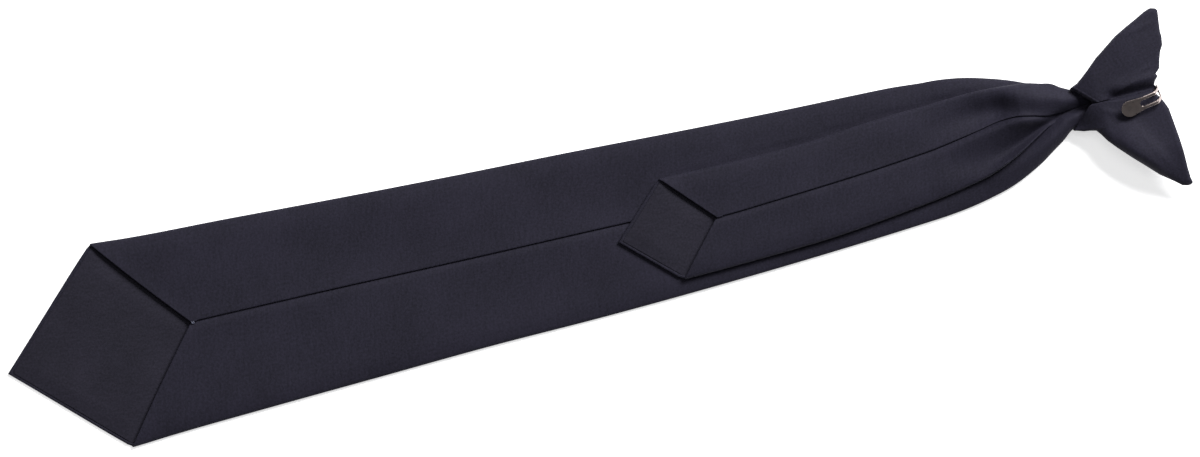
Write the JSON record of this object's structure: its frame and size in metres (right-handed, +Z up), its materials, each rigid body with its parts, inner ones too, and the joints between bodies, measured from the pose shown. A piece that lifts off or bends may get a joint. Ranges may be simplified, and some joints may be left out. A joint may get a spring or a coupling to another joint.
{
  "type": "clip on tie",
  "caption": "Long dark clip-on tie lying face down, folded wide blade with a pointed end, narrow tail, gathered knot with collar wings, and a bent metal clip.",
  "frame": {"origin": "middle of the floor under the tie as it lies face down", "axes": "+X from the wide blade's point to the top of the knot, +Y across the blade, +Z up from the floor to the back of the tie"},
  "size_m": [0.505, 0.0874, 0.0194],
  "materials": {
    "shell_cloth": "matte navy woven cloth cut on the bias",
    "tipping_cloth": "matte navy woven cloth, the same as the shell",
    "clip_metal": "nickel-plated spring steel, satin"
  },
  "bodies": {
    "root": {"wide_blade": "shell_cloth", "wide_tipping": "tipping_cloth", "tail_blade": "shell_cloth", "tail_tipping": "tipping_cloth", "knot_wrap": "shell_cloth", "wing_upper": "shell_cloth", "wing_lower": "shell_cloth", "clip": "clip_metal"}
  },
  "joints": []
}
